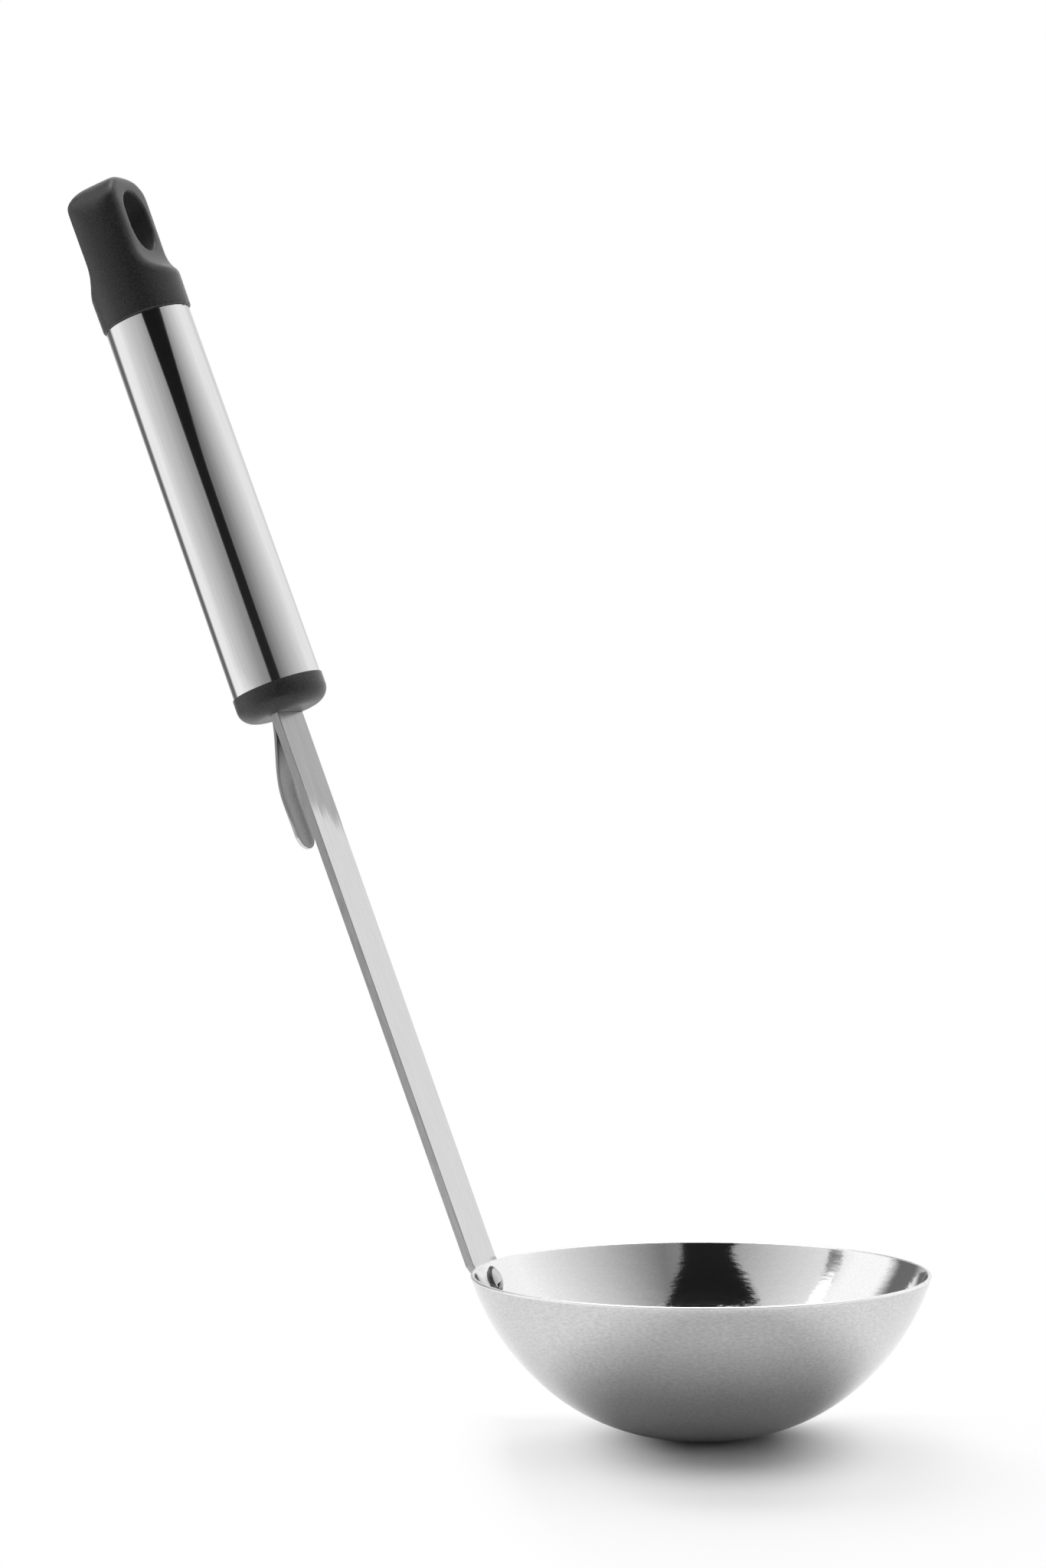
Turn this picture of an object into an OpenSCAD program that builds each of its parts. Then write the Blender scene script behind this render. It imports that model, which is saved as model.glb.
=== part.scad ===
// Soup ladle: a pressed steel bowl riveted to a flat bar, with a tubular grip, a pot clip and a hanging eye.
// Millimetres, +Z up. The origin is the middle of the flat under the bowl, and the handle leans toward -X.
// "Along the handle" is measured from the point where the bar leaves the bowl wall.

/* [Bowl] */
// Outer diameter of the rim
rim_d = 95; // [84:1:110]
// Height of the rim above the flat base
bowl_h = 34; // [29:0.5:38]
// Thickness of the bowl sheet
bowl_wall = 0.8; // [0.7:0.1:1.2]
// Diameter of the flat under the bowl
base_d = 8; // [6:1:14]
// Radius of the lower, tighter curve of the bowl
low_curve_r = 43; // [38:1:47]
// Slope at which the lower curve gives way to the upper one
curve_change = 40; // [34:1:46]

/* [Bar] */
// Width of the bar
bar_w = 13; // [11:0.5:15]
// Thickness of the bar
bar_t = 1.8; // [1.5:0.1:2.4]
// Lean of the handle from upright
lean = 20.8; // [18:0.2:24]
// Bar in view, from the bowl wall to the collar
bar_free = 125.4; // [100:0.2:150]
// Thickness of the flattened foot behind the bowl
foot_t = 1.3; // [1:0.1:1.5]
// Width of the foot at its round end
foot_w = 10; // [9:0.5:11]
// Length over which the foot thickens to the bar, above the upper rivet's back head
ramp_len = 1.9; // [1.5:0.1:6]
// Length of the tang above the collar
tang_len = 58; // [45:1:66]
// Width of the tang above its shoulder
tang_w = 9; // [7:0.5:10]
// Length of the bar's shoulder, and of the clip's shank, above the hidden pin
past_pin = 4; // [3:0.5:5]

/* [Bowl rivets] */
// Diameter of the rivet shank
rivet_d = 3; // [2.5:0.1:3.5]
// Diameter of the domed head inside the bowl
rivet_head_d = 6; // [5:0.1:6.5]
// Height of the domed head inside the bowl
rivet_head_h = 1.3; // [1:0.1:1.6]
// Diameter of the low head behind the foot
rivet_back_d = 5.2; // [4.8:0.1:6]
// Height of the low head behind the foot
rivet_back_h = 0.8; // [0.6:0.1:1]
// Distance of the upper rivet below the rim, along the wall
rivet_drop = 4.4; // [4:0.1:6]
// Distance between the two rivets, along the wall
rivet_pitch = 9; // [8:0.5:12]
// Gap between the upper rivet's back head and the ramp above it
seat_gap = 0.15; // [0.05:0.05:0.5]
// Gap around a rivet in its hole
rivet_gap = 0.05; // [0.03:0.01:0.1]

/* [Grip] */
// Diameter of the tube at the collar
tube_low_d = 19.4; // [18.6:0.1:22]
// Diameter of the tube at the cap
tube_top_d = 18.7; // [18.2:0.1:21]
// Length of the tube
tube_len = 84.2; // [76:0.2:110]
// Thickness of the tube wall
tube_wall = 0.7; // [0.6:0.1:1]
// Step of the collar outside the tube
collar_proud = 0.3; // [0.1:0.05:0.5]
// Step of the cap outside the tube
cap_proud = 0.5; // [0.2:0.05:0.8]
// Gap between a plug or the core and the tube
plug_gap = 0.1; // [0.05:0.05:0.2]
// Gap around the tang and the clip in their slots
slot_gap = 0.1; // [0.05:0.05:0.2]

/* [Collar] */
// Height of the collar below the tube
collar_h = 6.8; // [6:0.2:10]
// Radius of the collar's lower edge
collar_edge_r = 3.9; // [3:0.1:5]
// Length of the collar's plug inside the tube
collar_plug = 14; // [12:0.5:18]
// Diameter of the hidden pin through the collar's plug
pin_d = 2.5; // [2:0.1:3]
// Height of the pin above the collar's shoulder
pin_rise = 7; // [5:0.5:8]
// Depth of each pin end below the face of the plug
pin_inset = 0.4; // [0.2:0.1:1]

/* [Pot clip] */
// Thickness of the clip
clip_t = 0.7; // [0.6:0.1:1]
// Width of the clip's shank and neck
neck_w = 8; // [7:0.5:10]
// Width of the clip's leaf
leaf_w = 8.2; // [7:0.2:12]
// Length of the clip in view
clip_len = 28; // [24:0.2:34]
// Distance from the bar to the leaf, at its edges
clip_bow = 4.4; // [3:0.1:5]
// Depth of the hollow across the leaf
leaf_dish = 0.8; // [0.4:0.1:1.2]
// Length over which the clip swings away from the bar
swing_len = 21; // [15:0.5:22]
// Height above the collar's lower face at which that swing starts
swing_lead = 4; // [2:0.5:5]
// Depth below the collar at which the leaf starts to widen
widen_from = 3; // [2:0.5:5]
// Depth below the collar at which the hollow starts
dish_from = 5; // [4:0.5:7]
// Width of the leaf's very end
end_w = 1; // [0.5:0.5:3]
// Length of the leaf's round tip
tip_len = 3; // [2:0.5:8]
// How far the tip curls back toward the bar
tip_curl = 0.1; // [0:0.1:1.2]
// Length over which it curls back
curl_len = 12; // [8:1:16]

/* [End cap] */
// Height of the round part of the cap
cap_round_h = 8.4; // [7:0.2:14]
// Height of the whole cap
cap_h = 31.6; // [28:0.2:36]
// Widening of the cap's radius from its foot to its top
cap_flare = 0.4; // [0:0.1:0.8]
// Thickness of the flat eye plate
plate_t = 12.2; // [10:0.2:14]
// Radius of the scoop between the round part and the plate
scoop_r = 6; // [4:0.5:8]
// Radius of the plate's top corners
top_r = 9.5; // [6:0.5:10]
// Radius of the plate's top edge at the back
back_edge_r = 4.8; // [2:0.2:5]
// Radius of the plate's top edge at the front
front_edge_r = 2; // [0.5:0.1:3]
// Width of the hanging eye
eye_w = 10.4; // [8:0.2:10.8]
// Length of the hanging eye
eye_len = 13.6; // [12:0.2:15]
// Material left above the hanging eye
eye_top = 4; // [3:0.2:5]
// Length of the cap's plug inside the tube
cap_plug_len = 12; // [10:0.5:16]
// Diameter of the stud that the soft cap is pulled over
stud_d = 12; // [9:0.5:13]
// Height of that stud
stud_h = 8; // [6:0.5:9]
// Step of the bead round the stud
stud_bead = 0.6; // [0.3:0.1:1]

/* [Hidden] */
$fn = 96;

// Bowl wall: two arcs along the middle of the sheet, tangent where they meet
rim_r = rim_d / 2;
base_r = base_d / 2;
half_wall = bowl_wall / 2;
lip_at = [rim_r - half_wall, bowl_h - half_wall];
low_mid_r = low_curve_r - half_wall;
low_centre = [base_r, low_curve_r];
meet = low_centre + low_mid_r * [sin(curve_change), -cos(curve_change)];
chord = lip_at - meet;
rim_slope = 2 * atan2(chord[1], chord[0]) - curve_change;
high_mid_r = norm(chord) / 2 / sin((rim_slope - curve_change) / 2);
high_centre = meet + high_mid_r * [-sin(curve_change), cos(curve_change)];
wall_r = high_mid_r + half_wall;

// Overrun of a cutter past the face that it cuts, the same through a whole wall, and a size beyond the part
over = 1;
through = 6;
far = 400;

// Rivets sit square to the bowl wall. Slopes of the wall at the two rivets and at the foot's end
upper_slope = rim_slope - arc_turn(rivet_drop - half_wall);
lower_slope = upper_slope - arc_turn(rivet_pitch);
foot_slope = lower_slope - arc_turn(foot_w / 2);
hole_d = rivet_d + 2 * rivet_gap;

// The bar leaves the bowl wall where the wall has the bar's own slope. Where that point isn't between
// the upper rivet and the rim, the bar leaves at the nearer of the two, with a bend
touch_slope = min(max(90 - lean, upper_slope + arc_turn(rivet_d / 2)), rim_slope);
touch_at = [-(high_centre[0] + wall_r * sin(touch_slope)), 0, high_centre[1] - wall_r * cos(touch_slope)];
bend = 90 - lean - touch_slope;
back_tilt = max(0, upper_slope + lean - 90);
ramp_z = max(0, height_on_wall(upper_slope) + rivet_back_d / 2 + seat_gap
    + (foot_t + rivet_back_h) * sin(back_tilt));
bar_z = ramp_z + ramp_len;
// The foot fills up to the wall as far as the ramp's top, but no higher than the rim where the bar bends away
foot_front = bend > 0 ? 0 : over;
wall_form_top = bend > 0 ? touch_at[2] + over * cos(touch_slope) : far;
foot_end_z = height_on_wall(lower_slope);

// Heights along the handle
collar_z = bar_free;
tube_z = collar_z + collar_h;
cap_z = tube_z + tube_len;
tang_top_z = collar_z + tang_len;
pin_z = tube_z + pin_rise;
plug_top_z = tube_z + collar_plug;
cap_plug_z = cap_z - cap_plug_len;

// The grip's axis runs through the middle of the bar, and the clip lies flat on the bar's back inside the collar
axis_x = -bar_t / 2;
collar_r = tube_low_d / 2 + collar_proud;
cap_r = tube_top_d / 2 + cap_proud;
cap_top_r = cap_r + cap_flare;
clip_back = bar_t + clip_t;
shank_top_z = pin_z + past_pin;

// Angle round the wall's centre that spans a length along the wall
function arc_turn(len) = len * 180 / PI / wall_r;

// Height along the handle of the wall's point at a slope
function height_on_wall(slope) = wall_r * (sin(bend) - sin(90 - lean - slope));

// Radius of the tube's bore at a height along the handle
function bore_r(z) = tube_low_d / 2 - tube_wall + (tube_top_d - tube_low_d) / 2 * (z - tube_z) / tube_len;

// Eases from 0 to 1 as t runs from 0 to 1
function ease(t) = let (u = min(max(t, 0), 1)) u * u * (3 - 2 * u);

// Places children in the handle's frame: Z along the bar, +X toward the bowl, X = 0 on the bar's inner face
module along_handle() {
    translate(touch_at)
    rotate([0, -lean, 0])
    children();
}

// Part of the plane between two directions from the origin, measured up from straight down
module wedge(from, to) {
    polygon([[0, 0], far * [sin(from), -cos(from)], far * [sin(to), -cos(to)]]);
}

// Slice of a ring, one wall thick, around a centre
module wall_arc(centre, mid_r, from, to) {
    translate(centre)
    intersection() {
        difference() {
            circle(mid_r + half_wall, $fn = 240);
            circle(mid_r - half_wall, $fn = 240);
        }
        wedge(from, to);
    }
}

// Solid of revolution inside the outer face of the bowl's upper wall, carried on past the rim where the bar
// runs along it
module wall_form() {
    rotate_extrude($fn = 240)
    intersection() {
        translate(high_centre) circle(wall_r, $fn = 240);
        square([rim_d, wall_form_top]);
    }
}

// Turns children, drawn along -X, round the wall's centre so that they sit square to the wall
module on_wall(slope) {
    translate([-high_centre[0], 0, high_centre[1]])
    rotate([0, slope - 90, 0])
    children();
}

// Cylinder along -X from one radius to another, measured from the wall's centre
module radial_rod(d, from, to) {
    translate([-to, 0, 0])
    rotate([0, 90, 0])
    cylinder(h = to - from, d = d);
}

module rivet_holes() {
    for (slope = [upper_slope, lower_slope])
        on_wall(slope)
        radial_rod(hole_d, wall_r - through, wall_r + through);
}

// Room for the rivets' back heads, where a bend of the bar would reach into them
module back_head_seats() {
    for (slope = [upper_slope, lower_slope])
        on_wall(slope)
        radial_rod(rivet_back_d + 2 * rivet_gap, wall_r + foot_t + rivet_gap, wall_r + through);
}

module bowl() {
    color("gainsboro")
    difference() {
        rotate_extrude($fn = 240)
        union() {
            square([base_r, bowl_wall]);
            wall_arc(low_centre, low_mid_r, 0, curve_change);
            wall_arc(high_centre, high_mid_r, curve_change, rim_slope);
            translate(lip_at) circle(half_wall);
        }
        rivet_holes();
    }
}

// Side view of the foot, which bends with the bowl wall, and of its ramp up to the bar's full thickness.
// It is drawn a little into the bowl, whose outer face then cuts it.
module foot_side() {
    rotate(bend)
    translate([wall_r, 0])
    intersection() {
        difference() {
            circle(wall_r + foot_t, $fn = 240);
            circle(wall_r - over, $fn = 240);
        }
        rotate(-90)
        wedge(0, touch_slope - foot_slope);
    }
    polygon([[-foot_t, 0], [-foot_t, ramp_z], [-bar_t, bar_z], [-bar_t, bar_z + over], [0, bar_z + over],
        [0, bar_z], [foot_front, bar_z], [foot_front, 0]]);
    // A bend toward the bowl opens a gap behind, which a round back fills
    if (bend > 0)
        intersection() {
            circle(foot_t);
            translate([-foot_t, -foot_t]) square([foot_t, 2 * foot_t]);
        }
}

// Outline of the foot seen square on: as wide as the bar at the top, narrowing to a round end
module foot_plan() {
    polygon([[-bar_w / 2, bar_z + over], [-bar_w / 2, bar_z], [-foot_w / 2, foot_end_z],
        [foot_w / 2, foot_end_z], [bar_w / 2, bar_z], [bar_w / 2, bar_z + over]]);
    translate([0, foot_end_z]) circle(d = foot_w);
}

module shaft() {
    color("silver")
    difference() {
        along_handle() {
            translate([-bar_t, -bar_w / 2, bar_z]) cube([bar_t, bar_w, pin_z + past_pin - bar_z]);
            translate([-bar_t, -tang_w / 2, pin_z]) cube([bar_t, tang_w, tang_top_z - pin_z]);
            intersection() {
                rotate([90, 0, 0])
                linear_extrude(bar_w, center = true)
                foot_side();
                rotate([90, 0, 90])
                linear_extrude(far, center = true)
                foot_plan();
            }
        }
        wall_form();
        rivet_holes();
        back_head_seats();
        pin_bore(pin_d + 2 * rivet_gap);
    }
}

// Half section of a low dome, flat side down
module dome_section(d, h) {
    dome_r = (d * d / 4 + h * h) / 2 / h;
    intersection() {
        translate([0, h - dome_r]) circle(dome_r);
        square([d / 2, h]);
    }
}

// Rivet with a domed head inside the bowl and a low head on the back of the foot, turned as one piece
module rivet(slope) {
    inner_r = wall_r - bowl_wall;
    seat = sqrt(inner_r * inner_r - rivet_head_d * rivet_head_d / 4);
    grip_len = wall_r + foot_t - seat;
    on_wall(slope)
    translate([-seat, 0, 0])
    rotate([0, 90, 0])
    rotate_extrude() {
        dome_section(rivet_head_d, rivet_head_h);
        translate([0, -grip_len]) square([rivet_d / 2, grip_len]);
        translate([0, -grip_len]) mirror([0, 1]) dome_section(rivet_back_d, rivet_back_h);
    }
}

// Cross bore for the hidden pin, square to the bar
module pin_bore(d) {
    along_handle()
    translate([-far / 2, 0, pin_z])
    rotate([0, 90, 0])
    cylinder(h = far, d = d);
}

// Width of the clip at a height along the handle: shank, neck, leaf, then a round tip
function clip_w(z) =
    let (down = collar_z - z)
    let (full = neck_w + (leaf_w - neck_w) * ease((down - widen_from) / (swing_len / 2)))
    let (tip = max(0, down - (clip_len - tip_len)) / tip_len)
    max(end_w, full * sqrt(max(0, 1 - tip * tip)));

// Distance of the clip's inner face behind the bar, along its edges
function clip_off(z) =
    let (down = collar_z - z)
    let (curl = (down - clip_len + curl_len) / curl_len)
    clip_bow * ease((down + swing_lead) / swing_len) - tip_curl * ease(curl);

// Hollow across the leaf: none on the neck, full depth once the leaf has its width
function clip_dish(z) = leaf_dish * ease((collar_z - z - dish_from) / (swing_len / 2)) * clip_w(z) / leaf_w;

// Bent strip lofted from flat shank to dished leaf, as rings of points down the handle
module clip_form() {
    across = 8;
    steps = 30;
    drops = [for (i = [0 : steps]) (clip_len + swing_lead) * sin(90 * i / steps) - swing_lead];
    heights = concat([shank_top_z], [for (drop = drops) collar_z - drop]);
    ring = 2 * (across + 1);
    points = [for (z = heights) each concat(
        [for (j = [0 : across]) let (y = (j / across - 0.5) * clip_w(z))
            [-bar_t - clip_off(z) - clip_dish(z) * (1 - pow(2 * y / clip_w(z), 2)), y, z]],
        [for (j = [across : -1 : 0]) let (y = (j / across - 0.5) * clip_w(z))
            [-bar_t - clip_t - clip_off(z) - clip_dish(z) * (1 - pow(2 * y / clip_w(z), 2)), y, z]])];
    last = len(heights) - 1;
    sides = [for (i = [0 : last - 1], j = [0 : ring - 1])
        let (a = i * ring + j, b = i * ring + (j + 1) % ring, c = b + ring, d = a + ring)
        each [[a, b, c], [a, c, d]]];
    top = [for (j = [0 : across - 1]) let (k = ring - 1 - j) each [[j, k, k - 1], [j, k - 1, j + 1]]];
    base = last * ring;
    bottom = [for (j = [0 : across - 1]) let (k = ring - 1 - j)
        each [[base + j, base + k - 1, base + k], [base + j, base + j + 1, base + k - 1]]];
    polyhedron(points, concat(sides, top, bottom));
}

module pot_clip() {
    color("darkgray")
    difference() {
        along_handle() clip_form();
        pin_bore(pin_d + 2 * rivet_gap);
    }
}

// Slot for the bar and, behind it, for the clip's shank, with a mouth that clears the clip's first bend
module shaft_slot(from, to) {
    translate([-bar_t - slot_gap, -bar_w / 2 - slot_gap, from])
    cube([bar_t + 2 * slot_gap, bar_w + 2 * slot_gap, to - from]);
    translate([-clip_back - slot_gap, -neck_w / 2 - slot_gap, from])
    cube([clip_t + 2 * slot_gap, neck_w + 2 * slot_gap, to - from]);
    back = -clip_back - slot_gap;
    rotate([90, 0, 0])
    linear_extrude(neck_w + 2 * slot_gap, center = true)
    polygon([[back, collar_z + swing_lead], [back - clip_off(collar_z), collar_z],
        [back - clip_off(collar_z), from], [0, from], [0, collar_z + swing_lead]]);
}

module collar() {
    color("dimgray")
    difference() {
        along_handle()
        difference() {
            translate([axis_x, 0, 0]) {
                translate([0, 0, collar_z])
                rotate_extrude()
                union() {
                    square([collar_r - collar_edge_r, collar_h]);
                    translate([0, collar_edge_r]) square([collar_r, collar_h - collar_edge_r]);
                    intersection() {
                        translate([collar_r - collar_edge_r, collar_edge_r]) circle(collar_edge_r);
                        square([collar_r, collar_edge_r]);
                    }
                }
                translate([0, 0, tube_z])
                cylinder(h = collar_plug, r1 = bore_r(tube_z) - plug_gap, r2 = bore_r(plug_top_z) - plug_gap);
            }
            shaft_slot(collar_z - over, plug_top_z + over);
        }
        pin_bore(pin_d + 2 * rivet_gap);
    }
}

module collar_pin() {
    half = bore_r(pin_z) - plug_gap - pin_inset;
    color("lightslategray")
    along_handle()
    translate([axis_x - sqrt(half * half - pin_d * pin_d / 4), 0, pin_z])
    rotate([0, 90, 0])
    cylinder(h = 2 * sqrt(half * half - pin_d * pin_d / 4), d = pin_d);
}

module handle_tube() {
    color("gainsboro")
    along_handle()
    translate([axis_x, 0, tube_z])
    difference() {
        cylinder(h = tube_len, d1 = tube_low_d, d2 = tube_top_d, $fn = 160);
        translate([0, 0, -tube_len])
        cylinder(h = 3 * tube_len, r1 = bore_r(tube_z - tube_len), r2 = bore_r(tube_z + 2 * tube_len), $fn = 160);
    }
}

// Plastic lining that fills the tube between the two plugs and grips the tang
module handle_core() {
    color("slategray")
    along_handle()
    difference() {
        translate([axis_x, 0, plug_top_z])
        cylinder(h = cap_plug_z - plug_top_z, r1 = bore_r(plug_top_z) - plug_gap, r2 = bore_r(cap_plug_z) - plug_gap);
        translate([-bar_t - slot_gap, -tang_w / 2 - slot_gap, plug_top_z - over])
        cube([bar_t + 2 * slot_gap, tang_w + 2 * slot_gap, tang_top_z + slot_gap - plug_top_z + over]);
    }
}

// Stud on the plug that the soft cap is pulled over, with a bead that holds it
module plug_stud(gap) {
    translate([0, 0, -over]) cylinder(h = stud_h + over + gap, r = stud_d / 2 + gap);
    translate([0, 0, stud_h / 2 - gap])
    cylinder(h = stud_h / 4 + 2 * gap, r = stud_d / 2 + stud_bead + gap);
}

module cap_plug() {
    color("darkslategray")
    along_handle()
    translate([axis_x, 0, cap_z]) {
        translate([0, 0, -cap_plug_len])
        cylinder(h = cap_plug_len, r1 = bore_r(cap_plug_z) - plug_gap, r2 = bore_r(cap_z) - plug_gap);
        plug_stud(0);
    }
}

// Side view of the plate, with its round top edges
module plate_side() {
    half = plate_t / 2;
    back = half - back_edge_r;
    front = half - front_edge_r;
    translate([-half, 0]) square([half, cap_h - back_edge_r]);
    square([half, cap_h - front_edge_r]);
    translate([-back, 0]) square([back + front, cap_h]);
    for (edge = [[-back, back_edge_r], [front, front_edge_r]])
        translate([edge[0], cap_h - edge[1]]) circle(edge[1]);
}

// Side view of the cap: a round foot, and a plate between a front and a back scoop
module cap_side() {
    half = plate_t / 2;
    reach = scoop_r - (cap_top_r - half);
    rise = sqrt(scoop_r * scoop_r - reach * reach);
    square([2 * cap_top_r, 2 * cap_round_h], center = true);
    plate_side();
    difference() {
        translate([0, cap_round_h + rise / 2]) square([2 * cap_top_r, rise], center = true);
        for (side = [-1, 1])
            translate([side * (half + scoop_r), cap_round_h + rise]) circle(scoop_r);
    }
}

// Front view of the cap, with its round top
module cap_front() {
    round_r = min(top_r, cap_top_r);
    corner = cap_top_r - round_r;
    translate([-cap_top_r, 0]) square([2 * cap_top_r, cap_h - round_r]);
    if (corner > 0)
        translate([-corner, 0]) square([2 * corner, cap_h]);
    for (side = [-1, 1])
        translate([side * corner, cap_h - round_r]) circle(round_r);
}

// Long round-ended hole
module eye() {
    run = (eye_len - eye_w) / 2;
    square([eye_w, 2 * run], center = true);
    for (side = [-1, 1])
        translate([0, side * run]) circle(d = eye_w);
}

module end_cap() {
    color("dimgray")
    along_handle()
    translate([axis_x, 0, cap_z])
    difference() {
        intersection() {
            cylinder(h = cap_h, r1 = cap_r, r2 = cap_top_r, $fn = 160);
            rotate([90, 0, 0]) linear_extrude(far, center = true) cap_side();
            rotate([90, 0, 90]) linear_extrude(far, center = true) cap_front();
        }
        translate([0, 0, cap_h - eye_top - eye_len / 2])
        rotate([90, 0, 90])
        linear_extrude(far, center = true)
        eye();
        plug_stud(slot_gap);
    }
}

module upper_rivet() { color("white") rivet(upper_slope); }
module lower_rivet() { color("white") rivet(lower_slope); }

bowl();
shaft();
upper_rivet();
lower_rivet();
pot_clip();
collar();
collar_pin();
handle_tube();
handle_core();
cap_plug();
end_cap();
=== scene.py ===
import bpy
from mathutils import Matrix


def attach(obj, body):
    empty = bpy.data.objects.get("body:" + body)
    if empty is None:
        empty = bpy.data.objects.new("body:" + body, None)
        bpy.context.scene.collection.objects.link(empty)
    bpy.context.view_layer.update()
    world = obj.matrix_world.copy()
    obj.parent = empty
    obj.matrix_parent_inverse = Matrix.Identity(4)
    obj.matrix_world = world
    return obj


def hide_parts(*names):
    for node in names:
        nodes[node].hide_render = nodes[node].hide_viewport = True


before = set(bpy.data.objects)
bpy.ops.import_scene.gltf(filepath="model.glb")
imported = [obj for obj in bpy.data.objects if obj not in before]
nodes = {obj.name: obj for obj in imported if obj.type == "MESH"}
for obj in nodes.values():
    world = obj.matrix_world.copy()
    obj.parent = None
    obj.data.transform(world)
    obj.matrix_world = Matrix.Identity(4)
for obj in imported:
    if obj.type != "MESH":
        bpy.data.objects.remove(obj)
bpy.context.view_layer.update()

from math import atan2, cos, hypot, pi, radians, sin, sqrt

import bmesh
import bpy
from mathutils import Matrix, Vector

scene = bpy.context.scene
weld = 0.002       # millimetres: points closer than this become one
tiny = 0.01        # millimetres: less than any step in a shape
flatWithin = 0.5   # degrees: faces this close to one plane become one face


def toLinear(hexColour):
    # sRGB hex to the linear colour that the shaders want
    parts = [int(hexColour[i:i + 2], 16) / 255 for i in (1, 3, 5)]
    return [p / 12.92 if p <= 0.04045 else ((p + 0.055) / 1.055) ** 2.4 for p in parts] + [1.0]


def addNode(tree, kind, settings=None, links=None):
    # settings: attributes or input values by name or number; links: input -> output socket
    node = tree.nodes.new(kind)
    for key, value in (settings or {}).items():
        if isinstance(key, int) or key in node.inputs:
            node.inputs[key].default_value = value
        else:
            setattr(node, key, value)
    for key, socket in (links or {}).items():
        tree.links.new(socket, node.inputs[key])
    return node


def emptyMaterial(name):
    material = bpy.data.materials.new(name)
    material.use_nodes = True
    material.node_tree.nodes.clear()
    return material, material.node_tree


def newMaterial(name):
    material, tree = emptyMaterial(name)
    shader = addNode(tree, "ShaderNodeBsdfPrincipled")
    addNode(tree, "ShaderNodeOutputMaterial", links={"Surface": shader.outputs[0]})
    return material, tree, shader


def handlePlace():
    # from millimetres along the handle to the frame's metres
    lean = radians(handleLine["lean"])
    foot = Vector(handleLine["leavesBowl"]) * 0.001
    return Matrix.Translation(foot) @ Matrix.Rotation(-lean, 4, "Y") @ Matrix.Scale(0.001, 4)


def meshObject(name, bm):
    # an object at the origin, unturned, from a bmesh that isn't needed after it
    mesh = bpy.data.meshes.new(name)
    bm.to_mesh(mesh)
    bm.free()
    made = bpy.data.objects.new(name, mesh)
    scene.collection.objects.link(made)
    return made


def finishPiece(bm, name, materials, replaced, place=None, sharpAngle=35, flatFrom=1):
    # sharpAngle: edges bent by more degrees than this stay crisp in the shading
    # flatFrom: faces from this area on, in square metres, are truly flat and shaded so
    if place is not None:
        bmesh.ops.transform(bm, matrix=place, verts=bm.verts)
    for face in bm.faces:
        face.smooth = face.calc_area() < flatFrom
    for edge in bm.edges:
        if len(edge.link_faces) == 2 and edge.calc_face_angle() > radians(sharpAngle):
            edge.smooth = False
    piece = meshObject(name, bm)
    for material in materials:
        piece.data.materials.append(material)
    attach(piece, "root")
    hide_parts(*replaced)
    print("made", name, len(piece.data.polygons), "faces")
    return piece


def weldedCopy(node):
    bm = bmesh.new()
    bm.from_mesh(nodes[node].data)
    bmesh.ops.remove_doubles(bm, verts=bm.verts, dist=weld * 0.001)
    return bm


def bentEdges(bm, degrees):
    # edges between two faces that meet at more than this angle
    return [e for e in bm.edges if len(e.link_faces) == 2 and e.calc_face_angle() > radians(degrees)]


def roundOff(bm, edges, size, steps=2, clamp=False):
    return bmesh.ops.bevel(bm, geom=edges, offset=size, segments=steps, profile=0.5, affect="EDGES",
                           material=-1, clamp_overlap=clamp)


def meltCopy(node):
    # a welded copy of a CAD node, with its flat areas joined into single faces
    bm = weldedCopy(node)
    bmesh.ops.dissolve_limit(bm, angle_limit=radians(flatWithin), verts=bm.verts, edges=bm.edges)
    for face in bm.faces:
        face.material_index = 0
    return bm


handleLine = {
    "lean": 20.8,                        # degrees from upright
    "leavesBowl": (-46.687, 0, 31.234),  # where the bar leaves the bowl wall
    "gripAxis": -0.9,                    # from the bar's inner face
    "tubeStart": 132.2,
}


def perMetre(sizes):
    # pattern sizes in millimetres to the scale that a noise texture wants
    return [1000 / size for size in sizes]


steelPattern = {
    "ringRadius": 40,           # millimetres: where a pattern that runs round the bowl has its true size
    "grainDetail": 3.0, "grainRoughness": 0.6, "waveRoughness": 0.55, "streakDetail": 2.0,
    "mottle": (0.35, 0.65),     # the part of the grain that takes the tone from dark to light
}


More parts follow.
